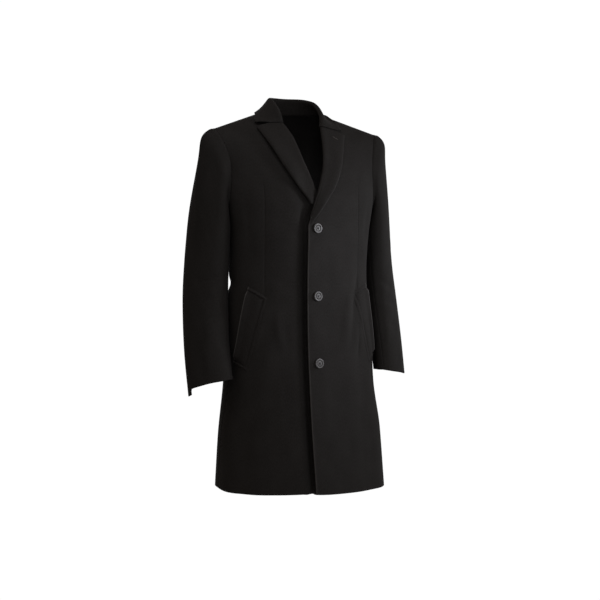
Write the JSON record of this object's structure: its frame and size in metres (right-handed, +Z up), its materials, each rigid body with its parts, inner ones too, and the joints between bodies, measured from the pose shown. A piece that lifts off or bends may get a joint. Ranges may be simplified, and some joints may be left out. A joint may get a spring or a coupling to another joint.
{
  "type": "topcoat",
  "caption": "Single-breasted men's wool topcoat to mid thigh, in its worn hollow shape, with notch lapels, set-in sleeves and slanted welt pockets.",
  "frame": {"origin": "middle of the neck, at the height where the shoulder seams end, where the coat hangs from its wearer", "axes": "+Z up, -Y the front, +X the wearer's left"},
  "size_m": [0.584, 0.3409, 0.9893],
  "materials": {
    "wool": "napped black wool melton, matte",
    "button": "satin grey with a raised rim"
  },
  "bodies": {
    "root": {"front_left": "wool", "front_right": "wool", "back_left": "wool", "back_right": "wool", "sleeve_left_top": "wool", "sleeve_left_under": "wool", "sleeve_right_top": "wool", "sleeve_right_under": "wool", "lapel_left": "wool", "lapel_right": "wool", "collar": "wool", "welt_left": "wool", "welt_right": "wool", "button_1": "button", "button_2": "button", "button_3": "button"}
  },
  "joints": []
}
